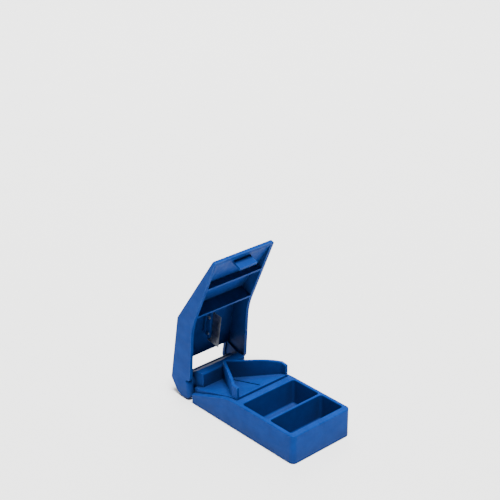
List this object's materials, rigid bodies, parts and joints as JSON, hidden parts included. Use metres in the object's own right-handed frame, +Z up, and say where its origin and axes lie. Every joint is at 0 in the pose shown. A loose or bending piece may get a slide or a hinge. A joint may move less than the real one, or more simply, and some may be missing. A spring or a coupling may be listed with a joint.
{
  "type": "pill splitter",
  "caption": "Pocket pill splitter: a hinged lid lowers a steel blade into a V-shaped pill holder, and closes open storage compartments in the tray.",
  "frame": {"origin": "middle of the tray's flat underside, half way along the tray", "axes": "+Z up, -Y towards the front of the tray, +X to the right of a person facing the front, along the hinge axis"},
  "size_m": [0.038, 0.0898, 0.085],
  "materials": {
    "blue_plastic": "satin moulded plastic",
    "blade_steel": "ground steel",
    "pin_steel": "drawn steel"
  },
  "bodies": {
    "base": {"base_tray": "blue_plastic", "pill_holder": "blue_plastic"},
    "lid": {"lid_shell": "blue_plastic", "blade_carrier": "blue_plastic", "blade": "blade_steel", "blade_pins": "pin_steel"}
  },
  "joints": [
    {"name": "lid_hinge", "type": "hinge", "parent": "base", "child": "lid", "pos_m": [0, 0.0375, 0.0085], "axis": [-1, 0, 0], "range_deg": [-65.8, 24.2]}
  ]
}
